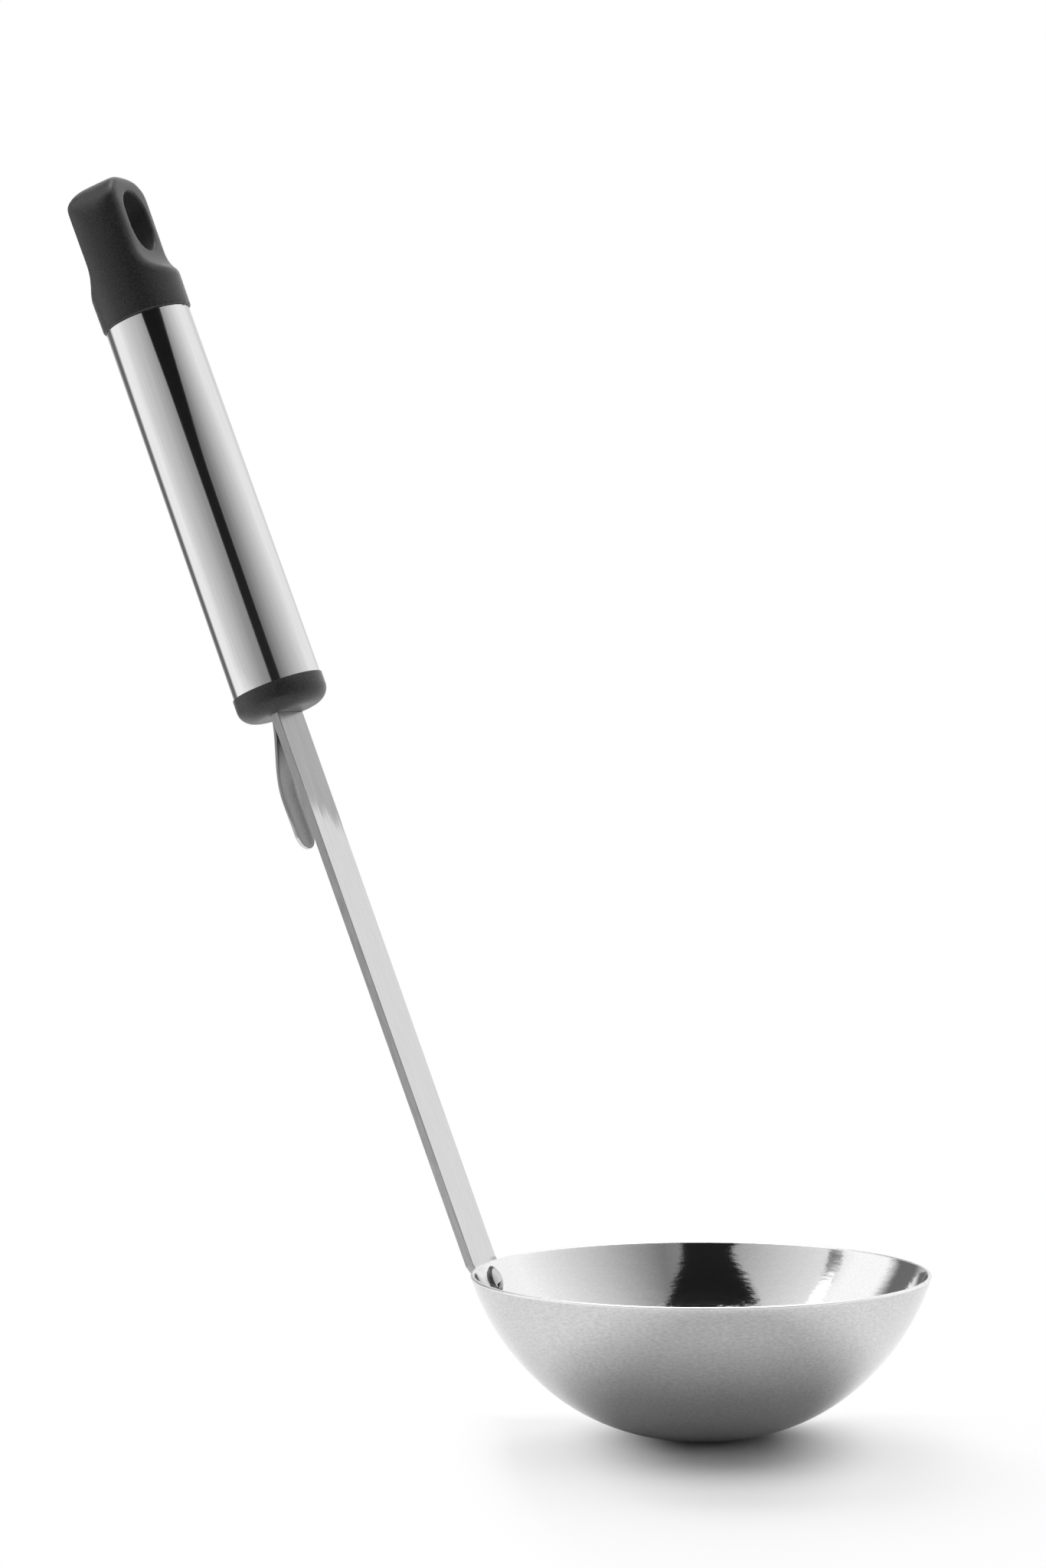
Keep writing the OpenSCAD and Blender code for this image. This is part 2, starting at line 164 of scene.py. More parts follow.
def makeSteel(name, finish):
    # stainless steel: a grey mirror whose gloss is broken by fine scratches and by slow waves in the sheet
    s = steelPattern
    material, tree, shader = newMaterial(name)
    coords = addNode(tree, "ShaderNodeTexCoord")
    turned = addNode(tree, "ShaderNodeMapping",
                     {"vector_type": "TEXTURE", "Rotation": (0, radians(-finish["lean"]), 0)},
                     {"Vector": coords.outputs["Object"]})
    if finish.get("round"):
        # the pattern runs round the upright axis: one place per direction, drawn out at the wall's radius
        ring = s["ringRadius"] / 1000
        flat = addNode(tree, "ShaderNodeVectorMath", {"operation": "MULTIPLY", 1: (1, 1, 0)},
                       {0: turned.outputs[0]})
        unit = addNode(tree, "ShaderNodeVectorMath", {"operation": "NORMALIZE"}, {0: flat.outputs[0]})
        height = addNode(tree, "ShaderNodeVectorMath", {"operation": "MULTIPLY", 1: (0, 0, 1)},
                         {0: coords.outputs["Object"]})
        turned = addNode(tree, "ShaderNodeVectorMath", {"operation": "MULTIPLY_ADD", 1: (ring, ring, 0)},
                         {0: unit.outputs[0], 2: height.outputs[0]})
    fine = addNode(tree, "ShaderNodeMapping", {"Scale": perMetre(finish["grain"])},
                   {"Vector": turned.outputs[0]})
    slow = addNode(tree, "ShaderNodeMapping", {"Scale": perMetre(finish["waves"])},
                   {"Vector": turned.outputs[0]})
    grain = addNode(tree, "ShaderNodeTexNoise",
                    {"Scale": 1.0, "Detail": s["grainDetail"], "Roughness": s["grainRoughness"]},
                    {"Vector": fine.outputs[0]})
    waves = addNode(tree, "ShaderNodeTexNoise",
                    {"Scale": 1.0, "Detail": finish["waveDetail"], "Roughness": s["waveRoughness"]},
                    {"Vector": slow.outputs[0]})
    rough = addNode(tree, "ShaderNodeMapRange", {"To Min": finish["gloss"][0], "To Max": finish["gloss"][1]},
                    {"Value": grain.outputs["Fac"]})
    mottle = addNode(tree, "ShaderNodeMapRange", {"From Min": s["mottle"][0], "From Max": s["mottle"][1]},
                     {"Value": grain.outputs["Fac"]})
    tone = mixTones(tree, finish["tones"], mottle.outputs[0])
    # a dark reflection painted into the base colour by the grip
    if finish.get("paintedReflection"):
        tone = paintReflectionStretch(tree, finish["paintedReflection"], turned, tone)
    waved = addNode(tree, "ShaderNodeBump", {"Strength": 1.0, "Distance": finish["waveHeight"] / 1000},
                    {"Height": waves.outputs["Fac"]})
    scratched = addNode(tree, "ShaderNodeBump", {"Strength": 1.0, "Distance": finish["grainHeight"] / 1000},
                        {"Height": grain.outputs["Fac"], "Normal": waved.outputs[0]})
    shader.inputs["Metallic"].default_value = 1.0
    tree.links.new(tone.outputs[2], shader.inputs["Base Color"])
    tree.links.new(rough.outputs[0], shader.inputs["Roughness"])
    tree.links.new(scratched.outputs[0], shader.inputs["Normal"])
    return material


def mixTones(tree, tones, share):
    # from the first tone, at share 0, to the second, at share 1
    return addNode(tree, "ShaderNodeMix", {"data_type": "RGBA", 6: toLinear(tones[0]), 7: toLinear(tones[1])},
                   {0: share})


def paintReflectionStretch(tree, paintedReflection, turned, tone):
    # the stretch by the grip, painted greyer and streaky along the brushing: a painted dark reflection, with
    # a slanting, streaky end
    streaks = addNode(tree, "ShaderNodeMapping", {"Scale": perMetre(paintedReflection["streak"])},
                      {"Vector": turned.outputs[0]})
    brushed = addNode(tree, "ShaderNodeTexNoise", {"Scale": 1.0, "Detail": steelPattern["streakDetail"]},
                      {"Vector": streaks.outputs[0]})
    parts = addNode(tree, "ShaderNodeSeparateXYZ", links={0: turned.outputs[0]})
    slanted = addNode(tree, "ShaderNodeMath", {"operation": "MULTIPLY_ADD", 1: paintedReflection["slant"]},
                      {0: parts.outputs["Y"], 2: parts.outputs["Z"]})
    ragged = addNode(tree, "ShaderNodeMath", {"operation": "MULTIPLY_ADD", 1: paintedReflection["reach"] / 1000},
                     {0: brushed.outputs["Fac"], 2: slanted.outputs[0]})
    amount = smoothRange(tree, [edge / 1000 for edge in paintedReflection["ends"]], ragged.outputs[0])
    streaky = mixTones(tree, paintedReflection["tones"], brushed.outputs["Fac"])
    return addNode(tree, "ShaderNodeMix", {"data_type": "RGBA"},
                   {0: amount.outputs[0], 6: tone.outputs[2], 7: streaky.outputs[2]})


def smoothRange(tree, span, value):
    # 0 before the span and 1 after it, with a soft change between
    return addNode(tree, "ShaderNodeMapRange",
                   {"interpolation_type": "SMOOTHSTEP", "From Min": span[0], "From Max": span[1]},
                   {"Value": value})


rubberPattern = {
    "detail": 4.0, "roughness": 0.7,
    "speckle": (0.38, 0.66),    # the part of the grain that takes the tone from dark to light: painted glints
    "depth": 0.06,              # millimetres: how deep the grain is
    "sheenRoughness": 0.24, "ior": 1.5,
}


def softRubber(name, finish):
    # moulded plastic or rubber: dull, with a fine pebbled grain, and pale specks painted into its colour at
    # random as glints
    s = rubberPattern
    material, tree, shader = newMaterial(name)
    coords = addNode(tree, "ShaderNodeTexCoord")
    grain = addNode(tree, "ShaderNodeTexNoise",
                    {"Scale": 1000 / finish["grain"], "Detail": s["detail"], "Roughness": s["roughness"]},
                    {"Vector": coords.outputs["Object"]})
    speckle = addNode(tree, "ShaderNodeMapRange", {"From Min": s["speckle"][0], "From Max": s["speckle"][1]},
                      {"Value": grain.outputs["Fac"]})
    tone = mixTones(tree, finish["tones"], speckle.outputs[0])
    bump = addNode(tree, "ShaderNodeBump", {"Strength": finish["bump"], "Distance": s["depth"] / 1000},
                   {"Height": grain.outputs["Fac"]})
    shader.inputs["Roughness"].default_value = finish["roughness"]
    shader.inputs["IOR"].default_value = s["ior"]
    shader.inputs["Sheen Weight"].default_value = finish["sheen"]
    shader.inputs["Sheen Roughness"].default_value = s["sheenRoughness"]
    tree.links.new(tone.outputs[2], shader.inputs["Base Color"])
    tree.links.new(bump.outputs[0], shader.inputs["Normal"])
    return material


handleLean = handleLine["lean"]  # the brushing and polishing of the handle's pieces run along it

# sizes are in millimetres, and those of grain, waves and streaks are across, across and along the grain

# the ground outside of the bowl: a soft mirror, with a fine stipple that breaks the light up
bowlOutside = makeSteel("satin stainless steel, ground", {
    "lean": 0, "round": True, "grain": (0.8, 0.8, 0.3), "grainHeight": 0.0018, "waves": (10, 10, 5),
    "waveDetail": 2.0, "waveHeight": 0.035, "gloss": (0.10, 0.17), "tones": ("#CACACA", "#DEDEDE")})
# the drawn and polished inside: a clearer mirror, whose waves bend what it shows
bowlInside = makeSteel("polished stainless steel, deep drawn", {
    "lean": 0, "round": True, "grain": (0.6, 0.6, 0.25), "grainHeight": 0.0018, "waves": (5, 5, 1.2),
    "waveDetail": 5.0, "waveHeight": 0.042, "gloss": (0.05, 0.10), "tones": ("#EEEEEE", "#F6F6F6")})
# the polished tube: long, clean streaks of light and dark along the grip
tubeSteel = makeSteel("polished stainless steel tube", {
    "lean": handleLean, "grain": (0.3, 0.3, 20), "grainHeight": 0.0003, "waves": (6, 6, 40),
    "waveDetail": 1.0, "waveHeight": 0.004, "gloss": (0.06, 0.12), "tones": ("#DFDFDF", "#E6E6E6")})
# the brushed flat: an even, soft grey with faint lines along it, and a painted dark reflection by the grip
barSteel = makeSteel("brushed stainless steel flat", {
    "lean": handleLean, "grain": (0.2, 0.2, 9), "grainHeight": 0.0012, "waves": (5, 5, 30),
    "waveDetail": 1.0, "waveHeight": 0.004, "gloss": (0.24, 0.34), "tones": ("#D0D0D0", "#DEDEDE"),
    # the painted dark reflection at the grip's end of the bar, counted in millimetres along the grain
    "paintedReflection": {"ends": (152.5, 156.5), "slant": 0.5, "reach": 12, "streak": (0.6, 0.6, 16),
               "tones": ("#989898", "#B4B4B4")}})
# the sheared and tumbled edges of the flat: darker and duller than its face
barEdgeSteel = makeSteel("sheared edge of the flat, tumbled", {
    "lean": handleLean, "grain": (0.4, 0.4, 5), "grainHeight": 0.002, "waves": (3, 3, 12),
    "waveDetail": 1.0, "waveHeight": 0.004, "gloss": (0.30, 0.40), "tones": ("#ACACAC", "#BCBCBC")})
# the tumbled clip: a dull, darker grey with small uneven glints
clipSteel = makeSteel("spring stainless steel, tumbled", {
    "lean": handleLean, "grain": (0.3, 0.3, 0.6), "grainHeight": 0.001, "waves": (3, 3, 4),
    "waveDetail": 2.0, "waveHeight": 0.02, "gloss": (0.34, 0.44), "tones": ("#909090", "#A2A2A2")})
# the lip: a paler, duller steel than the bowl, a painted highlight that shows as a thin bright line
lipHighlightSteel = makeSteel("rolled lip of the bowl, painted highlight", {
    "lean": 0, "round": True, "grain": (0.4, 0.4, 2), "grainHeight": 0.0015, "waves": (8, 8, 8),
    "waveDetail": 2.0, "waveHeight": 0.004, "gloss": (0.34, 0.44), "tones": ("#F2F2F2", "#FAFAFA")})
# the pressed edge of the rivet's head: a dark ring of painted shade
rivetShadeRingSteel = makeSteel("rivet edge, painted dark ring", {
    "lean": 0, "grain": (0.5, 0.5, 0.5), "grainHeight": 0.001, "waves": (2, 2, 2), "waveDetail": 2.0,
    "waveHeight": 0.006, "gloss": (0.30, 0.40), "tones": ("#3C3C3C", "#5A5A5A")})
# the rivet's smooth crown: a small clear glint
rivetSteel = makeSteel("pressed stainless steel rivet", {
    "lean": 0, "grain": (0.3, 0.3, 0.3), "grainHeight": 0.0005, "waves": (2, 2, 2), "waveDetail": 1.0,
    "waveHeight": 0.004, "gloss": (0.05, 0.09), "tones": ("#C8C8C8", "#D4D4D4")})
# the outside of the soft cap and the collar: black, with pale specks painted in at random as glints off the
# grain
capRubber = softRubber("black TPE, spark-eroded grain", {
    "grain": 1 / 3, "roughness": 0.30, "tones": ("#0C0C0C", "#3C3C3C"), "bump": 1.3, "sheen": 0.5})
# the wall of the eye: smoother than the outside, and painted paler in place of the light that reaches into
# it, so that the eye isn't a black hole
eyePaintedPaleRubber = softRubber("black TPE, wall of the eye painted paler", {
    "grain": 1 / 3, "roughness": 0.5, "tones": ("#303030", "#484848"), "bump": 0.4, "sheen": 0.3})
# the hidden core and plug: plain dark grey, hardly grained
plasticCore = softRubber("dark polypropylene, moulded", {
    "grain": 2 / 3, "roughness": 0.5, "tones": ("#2A2A2A", "#363636"), "bump": 0.2, "sheen": 0})
print("materials ready")


# all the pieces' sizes are in millimetres and degrees
bowlSizes = {
    "rim": 95.0, "height": 34.0, "wall": 0.8, "flat": 8.0,
    "lowRadius": 43.0, "curveChange": 40.0,
    "around": 192, "lowSteps": 16, "highSteps": 18,
    "lipShare": 0.49, "lipSteps": 5,     # the lip is rounded by this share of the wall, from both sides
}


def bowlCurves():
    # the centres of the wall's low and high arc, and the high arc's outer radius and its slope at the rim
    s = bowlSizes
    half = s["wall"] / 2
    change = radians(s["curveChange"])
    lip = Vector((s["rim"] / 2 - half, s["height"] - half))
    lowCentre = Vector((s["flat"] / 2, s["lowRadius"]))
    meet = lowCentre + (s["lowRadius"] - half) * Vector((sin(change), -cos(change)))
    chord = lip - meet
    rimSlope = 2 * atan2(chord.y, chord.x) - change
    midRadius = chord.length / 2 / sin((rimSlope - change) / 2)
    highCentre = meet + midRadius * Vector((-sin(change), cos(change)))
    return lowCentre, highCentre, midRadius + half, rimSlope


def makeBowl():
    # the outer face's outline is turned round the upright axis and given its wall inwards
    s = bowlSizes
    lowCentre, highCentre, wallRadius, rimSlope = bowlCurves()
    change = radians(s["curveChange"])
    bm = bmesh.new()
    middle = bm.verts.new((0, 0, 0))
    edgeOfFlat = bm.verts.new((s["flat"] / 2, 0, 0))
    bm.edges.new((middle, edgeOfFlat))
    low = bmesh.ops.spin(bm, geom=[edgeOfFlat], cent=(lowCentre.x, 0, lowCentre.y), axis=(0, -1, 0),
                         angle=change, steps=s["lowSteps"])
    last = [v for v in low["geom_last"] if isinstance(v, bmesh.types.BMVert)]
    bmesh.ops.spin(bm, geom=last, cent=(highCentre.x, 0, highCentre.y), axis=(0, -1, 0),
                   angle=rimSlope - change, steps=s["highSteps"])
    bmesh.ops.spin(bm, geom=bm.verts[:] + bm.edges[:], cent=(0, 0, 0), axis=(0, 0, 1),
                   angle=2 * pi, steps=s["around"], use_merge=True)
    bmesh.ops.remove_doubles(bm, verts=bm.verts, dist=weld)
    bmesh.ops.recalc_face_normals(bm, faces=bm.faces)
    if min(bm.faces, key=lambda f: f.calc_center_median().z).normal.z > 0:
        bmesh.ops.reverse_faces(bm, faces=bm.faces)
    bmesh.ops.solidify(bm, geom=bm.faces[:], thickness=s["wall"])
    lip = roundOff(bm, bentEdges(bm, 60), s["wall"] * s["lipShare"], s["lipSteps"])
    for face in bm.faces:
        if face.normal.z > 0:
            face.material_index = 1
    # the lip's rounding takes the paler steel: a painted highlight
    for face in lip["faces"]:
        face.material_index = 2
    finishPiece(bm, "ladle_bowl", [bowlOutside, bowlInside, lipHighlightSteel], ["bowl"], Matrix.Scale(0.001, 4))


makeBowl()


tubeSizes = {
    "lowDiameter": 19.4, "topDiameter": 18.7, "length": 84.2, "wall": 0.7, "edge": 0.15, "around": 144,
}


def makeTube():
    s = tubeSizes
    bm = bmesh.new()
    bmesh.ops.create_cone(bm, segments=s["around"], radius1=s["lowDiameter"] / 2,
                          radius2=s["topDiameter"] / 2, depth=s["length"], cap_ends=False)
    bmesh.ops.recalc_face_normals(bm, faces=bm.faces)
    bmesh.ops.solidify(bm, geom=bm.faces[:], thickness=s["wall"])
    roundOff(bm, bentEdges(bm, 60), s["edge"])
    lift = Matrix.Translation((handleLine["gripAxis"], 0, handleLine["tubeStart"] + s["length"] / 2))
    finishPiece(bm, "grip_tube", [tubeSteel], ["handle_tube"], handlePlace() @ lift)


makeTube()


barSizes = {
    "width": 13.0, "thick": 1.8, "top": 143.2, "tangTop": 183.4, "tangWidth": 9.0, "shoulder": 0.3,
    "rampTop": 3.0, "rampFoot": 1.1,     # where the bar starts to thin towards its foot
    "footThick": 1.3, "footWidth": 10.0, "footEnd": 1.4, "footTurn": 16.0, "footSteps": 28,
    "footSink": 0.45,                    # into the bowl's wall, so that no gap shows at the rim
    "edge": 0.12, "sideways": 0.9,       # a face that looks aside by this much is the narrow side
}


def pressFoot(v, wallRadius, lowest):
    # the foot is pressed thinner, lies along the bowl's wall and narrows to a round end
    s = barSizes
    half, endRound, z = s["width"] / 2, s["footWidth"] / 2, v.co.z
    if z >= 0:
        depth, inward = -v.co.x, Vector((1, 0, 0))
    else:
        outer = v.co.xz - Vector((wallRadius, 0))
        depth, inward = outer.length - wallRadius, Vector((-outer.x, 0, -outer.y)).normalized()
    if depth > s["thick"] / 2:
        v.co += inward * (depth - s["footThick"])
    else:
        v.co += inward * s["footSink"]
    share = (s["rampTop"] - z) / (s["rampTop"] - lowest - endRound)
    wide = half + (endRound - half) * min(share, 1)
    curve = max(0, (lowest + endRound - z) / endRound)
    wide = max(wide * sqrt(max(0, 1 - curve * curve)), s["footEnd"] / 2)
    v.co.y = wide if v.co.y > 0 else -wide


def makeBar():
    # one section is drawn out from the tang's end to the foot, which turns along the bowl's wall
    s = barSizes
    wallRadius = bowlCurves()[2]
    bm = bmesh.new()
    half, tangHalf = s["width"] / 2, s["tangWidth"] / 2
    section = bm.faces.new([bm.verts.new(p) for p in (
        (0, -tangHalf, s["tangTop"]), (0, tangHalf, s["tangTop"]),
        (-s["thick"], tangHalf, s["tangTop"]), (-s["thick"], -tangHalf, s["tangTop"]))])
    passed = []
    for stop, wide in ((s["top"], tangHalf), (s["top"] - s["shoulder"], half), (s["rampTop"], half),
                       (s["rampFoot"], half), (0, half)):
        grown = bmesh.ops.extrude_face_region(bm, geom=[section])
        section = [g for g in grown["geom"] if isinstance(g, bmesh.types.BMFace)][0]
        passed.append(section)
        for v in section.verts:
            v.co = (v.co.x, wide if v.co.y > 0 else -wide, stop)
    bmesh.ops.spin(bm, geom=[section], cent=(wallRadius, 0, 0), axis=(0, -1, 0),
                   angle=radians(s["footTurn"]), steps=s["footSteps"])
    # each step leaves the face that it started from inside the bar
    bmesh.ops.delete(bm, geom=passed, context="FACES_ONLY")
    lowest = min(v.co.z for v in bm.verts)
    for v in bm.verts:
        if v.co.z < s["rampTop"] - tiny:
            pressFoot(v, wallRadius, lowest)
    bmesh.ops.recalc_face_normals(bm, faces=bm.faces)
    bmesh.ops.dissolve_limit(bm, angle_limit=radians(flatWithin), verts=bm.verts, edges=bm.edges)
    longEdges = [e for e in bentEdges(bm, 50) if e.verts[0].co.y * e.verts[1].co.y > 0]
    roundOff(bm, longEdges, s["edge"])
    for face in bm.faces:
        if abs(face.normal.y) > s["sideways"]:
            face.material_index = 1
    finishPiece(bm, "flat_bar", [barSteel, barEdgeSteel], ["shaft"], handlePlace(), 60, 0.0001)


makeBar()


easedSizes = {
    "clipEdge": 0.12, "clipBroad": 0.45,     # a face that looks less than this across the leaf is its edge
    "collarEdge": 0.25, "collarHeight": 6.8, "collarShows": 6.1,
}


def easedCopy(node, name, materials, edge, sharp, drawnIn=1):
    bm = meltCopy(node)
    if drawnIn != 1:
        # the collar shows a little shorter than its node, and ends where the tube starts
        along = handlePlace() @ Matrix.Translation((0, 0, handleLine["tubeStart"]))
        shorter = along @ Matrix.Diagonal((1, 1, drawnIn, 1)) @ along.inverted()
        bmesh.ops.transform(bm, matrix=shorter, verts=bm.verts)
    if len(materials) > 1:
        # the narrow edge all round the leaf, square to its broad sides, takes the paler bar steel: a painted
        # highlight along the leaf's edge
        broadWay = (handlePlace().to_3x3() @ Vector((1, 0, 0))).normalized()
        for face in bm.faces:
            face.material_index = int(abs(face.normal.dot(broadWay)) < easedSizes["clipBroad"])
    roundOff(bm, bentEdges(bm, sharp), edge * 0.001, clamp=True)
    bmesh.ops.dissolve_degenerate(bm, dist=weld * 0.001, edges=bm.edges)
    finishPiece(bm, name, materials, [node], None, 30)


easedCopy("pot_clip", "clip_leaf", [clipSteel, barSteel], easedSizes["clipEdge"], 50)
easedCopy("collar", "grip_collar", [capRubber], easedSizes["collarEdge"], 30,
          easedSizes["collarShows"] / easedSizes["collarHeight"])


rivetSizes = {
    "headDiameter": 6.0, "headHeight": 1.3, "backDiameter": 5.2, "backHeight": 0.8, "shank": 3.0,
    "drop": 4.4, "pitch": 9.0,           # along the wall, from the rim and from rivet to rivet
    "around": 48, "arcSteps": 8, "shadeRingFrom": 0.74,
}


def domeArc(bm, diameter, height, base, way):
    # one side of a low dome's outline, from its top to its edge
    radius = (diameter * diameter / 4 + height * height) / 2 / height
    top = bm.verts.new((0, 0, base + way * height))
    bmesh.ops.spin(bm, geom=[top], cent=(0, 0, base + way * (height - radius)), axis=(0, way, 0),
                   angle=atan2(diameter / 2, radius - height), steps=rivetSizes["arcSteps"])


def makeRivet(name, node, drop):
    # turned upright at the origin, then set square into the wall at its drop below the rim
    s = rivetSizes
    highCentre, wallRadius, rimSlope = bowlCurves()[1:]
    slope = rimSlope - (drop - bowlSizes["wall"] / 2) / wallRadius
    inner = wallRadius - bowlSizes["wall"]
    seat = sqrt(inner * inner - s["headDiameter"] ** 2 / 4)
    back = seat - wallRadius - barSizes["footThick"]
    bm = bmesh.new()
    domeArc(bm, s["headDiameter"], s["headHeight"], 0, 1)
    domeArc(bm, s["backDiameter"], s["backHeight"], back, -1)
    edgeTop = max((v for v in bm.verts if v.co.z > -tiny), key=lambda v: v.co.x)
    edgeBack = max((v for v in bm.verts if v.co.z < back + tiny), key=lambda v: v.co.x)
    shankTop = bm.verts.new((s["shank"] / 2, 0, 0))
    shankBack = bm.verts.new((s["shank"] / 2, 0, back))
    for pair in ((edgeTop, shankTop), (shankTop, shankBack), (shankBack, edgeBack)):
        bm.edges.new(pair)
    bmesh.ops.spin(bm, geom=bm.verts[:] + bm.edges[:], cent=(0, 0, 0), axis=(0, 0, 1), angle=2 * pi,
                   steps=s["around"], use_merge=True)
    bmesh.ops.remove_doubles(bm, verts=bm.verts, dist=weld)
    bmesh.ops.recalc_face_normals(bm, faces=bm.faces)
    # the outer part of the head takes the dark ring: painted shade
    for face in bm.faces:
        if face.calc_center_median().xy.length > s["headDiameter"] / 2 * s["shadeRingFrom"]:
            face.material_index = 1
    wallTurn = (Matrix.Scale(0.001, 4) @ Matrix.Translation((-highCentre.x, 0, highCentre.y))
                @ Matrix.Rotation(slope - pi / 2, 4, "Y") @ Matrix.Translation((-seat, 0, 0))
                @ Matrix.Rotation(pi / 2, 4, "Y"))
    finishPiece(bm, name, [rivetSteel, rivetShadeRingSteel], [node], wallTurn, 30)


makeRivet("rivet_by_rim", "upper_rivet", rivetSizes["drop"])
makeRivet("rivet_below", "lower_rivet", rivetSizes["drop"] + rivetSizes["pitch"])


capSizes = {
    "voxel": 0.30, "smoothing": 0.5, "rounds": 14,
    # the outer edges are eased further: from this bend in degrees, and so many vertices beside it
    "edgeRounds": 90, "edgeBend": 9, "edgeReach": 4,
    # places along the handle: the cap's foot, the eye's middle, and from where the top is round all over
    "foot": 221.4, "eyeMiddle": 237.2, "roundFrom": 237,
    "eyeRun": 1.6,                       # half the straight run of the oblong eye
    "eyeWall": 5.35, "eyeReach": 6.1,    # from the eye's middle line: its wall, and where the easing stops
}


def smoothCap(cap, name, rounds):
    soften = cap.modifiers.new(name, "SMOOTH")
    soften.factor = capSizes["smoothing"]
    soften.iterations = rounds
    return soften


def makeCap():
    s = capSizes
    cap = finishPiece(weldedCopy("end_cap"), "end_cap_soft", [capRubber, eyePaintedPaleRubber], ["end_cap"], None, 180)
    remesh = cap.modifiers.new("melt", "REMESH")
    remesh.mode = "VOXEL"
    remesh.voxel_size = s["voxel"] * 0.001
    remesh.use_smooth_shade = True
    smoothCap(cap, "soften", s["rounds"])
    applyAll(cap)
    edges = cap.vertex_groups.new(name="outer edges")
    edges.add(outerEdges(cap.data), 1.0, "REPLACE")
    smoothCap(cap, "ease the outer edges", s["edgeRounds"]).vertex_group = edges.name
    applyAll(cap)
    alongHandle = handlePlace().inverted()
    # the eye's wall takes the paler rubber: painted light
    for face in cap.data.polygons:
        face.material_index = int(fromEye(alongHandle @ face.center) < s["eyeWall"])
    print("cap softened", len(cap.data.polygons), "faces")


def fromEye(place):
    # how far a place along the handle is from the middle line of the oblong eye
    return hypot(place.y, max(0, abs(place.z - capSizes["eyeMiddle"]) - capSizes["eyeRun"]))


def outerEdges(mesh):
    # vertices by the cap's bent edges, but not by its foot or its eye
    s = capSizes
    alongHandle = handlePlace().inverted()
    bm = bmesh.new()
    bm.from_mesh(mesh)
    free, near = set(), set()
    for v in bm.verts:
        place = alongHandle @ v.co
        if place.z > s["foot"] and fromEye(place) > s["eyeReach"]:
            free.add(v)
            bent = any(e.calc_face_angle(0) > radians(s["edgeBend"]) for e in v.link_edges)
            if place.z > s["roundFrom"] or bent:
                near.add(v)
    for ring in range(s["edgeReach"]):
        near |= {e.other_vert(v) for v in near for e in v.link_edges} & free
    found = [v.index for v in near]
    bm.free()
    return found


def applyAll(piece):
    # bakes a piece's modifiers into its mesh
    graph = bpy.context.evaluated_depsgraph_get()
    baked = bpy.data.meshes.new_from_object(piece.evaluated_get(graph))
    piece.modifiers.clear()
    piece.data = baked


makeCap()

# the hidden pieces keep their CAD meshes
for node, material in (("collar_pin", rivetSteel), ("handle_core", plasticCore), ("cap_plug", plasticCore)):
    nodes[node].data.materials.clear()
    nodes[node].data.materials.append(material)


# metres, degrees and millimetres of focal length
cameraSet = {
    "around": 18.24, "distance": 0.8667, "height": 0.1591,
    "yaw": 2.39, "pitch": -1.63, "roll": -0.25, "lens": 145.24, "sensor": 36, "clip": (0.01, 50),
}


def makeCamera():
    s = cameraSet
    around, yaw = radians(s["around"]), radians(s["around"] + s["yaw"])
    pitch, roll = radians(s["pitch"]), radians(s["roll"])
    place = Vector((s["distance"] * sin(around), -s["distance"] * cos(around), s["height"]))
    ahead = Vector((-sin(yaw) * cos(pitch), cos(yaw) * cos(pitch), sin(pitch)))
    right = ahead.cross(Vector((0, 0, 1))).normalized()
    up = right.cross(ahead)
    rolledRight = right * cos(roll) + up * sin(roll)
    rolledUp = up * cos(roll) - right * sin(roll)
    camera = bpy.data.objects.new("camera", bpy.data.cameras.new("camera"))
    turn = Matrix((rolledRight, rolledUp, -ahead)).transposed().to_4x4()
    camera.matrix_world = Matrix.Translation(place) @ turn
    camera.data.sensor_fit = "HORIZONTAL"
    camera.data.sensor_width = s["sensor"]
    camera.data.lens = s["lens"]
    camera.data.clip_start, camera.data.clip_end = s["clip"]
    scene.collection.objects.link(camera)
    scene.camera = camera


makeCamera()


# metres and degrees; a light's strength is as Blender counts it
studio = {
    "floorSize": 0.5, "floorSides": 96, "floorFade": (0.30, 0.46), "floorTone": "#F4F4F4",
    # where the floor goes over to white: behind the foot, close round it (to a share) and far round it
    "whiteBehind": (0.0, 0.03), "whiteNear": (0.008, 0.034), "nearShare": 0.62,
    "whiteFar": (0.034, 0.072), "farSide": 0.013, "frontStretch": 3.0, "whiteSide": 0.004,
    "backLamp": {"strength": 2.5, "angle": 40, "up": 34, "around": -170},
    "diffuseShare": 0.45,
    # how bright the tent round the object is, by the angle from the camera's side, + to the right:
    # a gap for the camera, light growing to both sides, a dark flag on the left and a weak one on the right
    "tent": [(-180, 0.85), (-156, 0.45), (-148, 0.16), (-130, 0.15), (-120, 1.05),
             (-96, 1.05), (-76, 0.8), (-45, 0.58), (-20, 0.36), (20, 0.2),
             (60, 0.57), (112, 1.0), (140, 0.98), (162, 0.75), (180, 0.85)],
    "topStart": 0.86, "topEnd": 0.93, "topLight": 4.0,
    # the camera's gap: upright from low to bend, then overhead; it widens and leans from these heights on
    "gapWidth": 0.5, "gapAway": 1.12, "gapShift": -0.04, "gapLow": -0.25, "gapBend": 0.1,
    "gapTurn": 66, "gapSteps": 16, "gapFlare": 2.2, "flareFrom": 0.75,
    "gapSlant": 0.3, "slantFrom": 0.45, "slantLeast": -0.25, "gapTone": "#262626",
}


def cameraTurn():
    # how far the camera's right is turned from X
    return radians(cameraSet["around"] + cameraSet["yaw"])


def aroundMatrix():
    # X to the camera's right, Y away from the camera
    return Matrix.Rotation(cameraTurn(), 4, "Z")


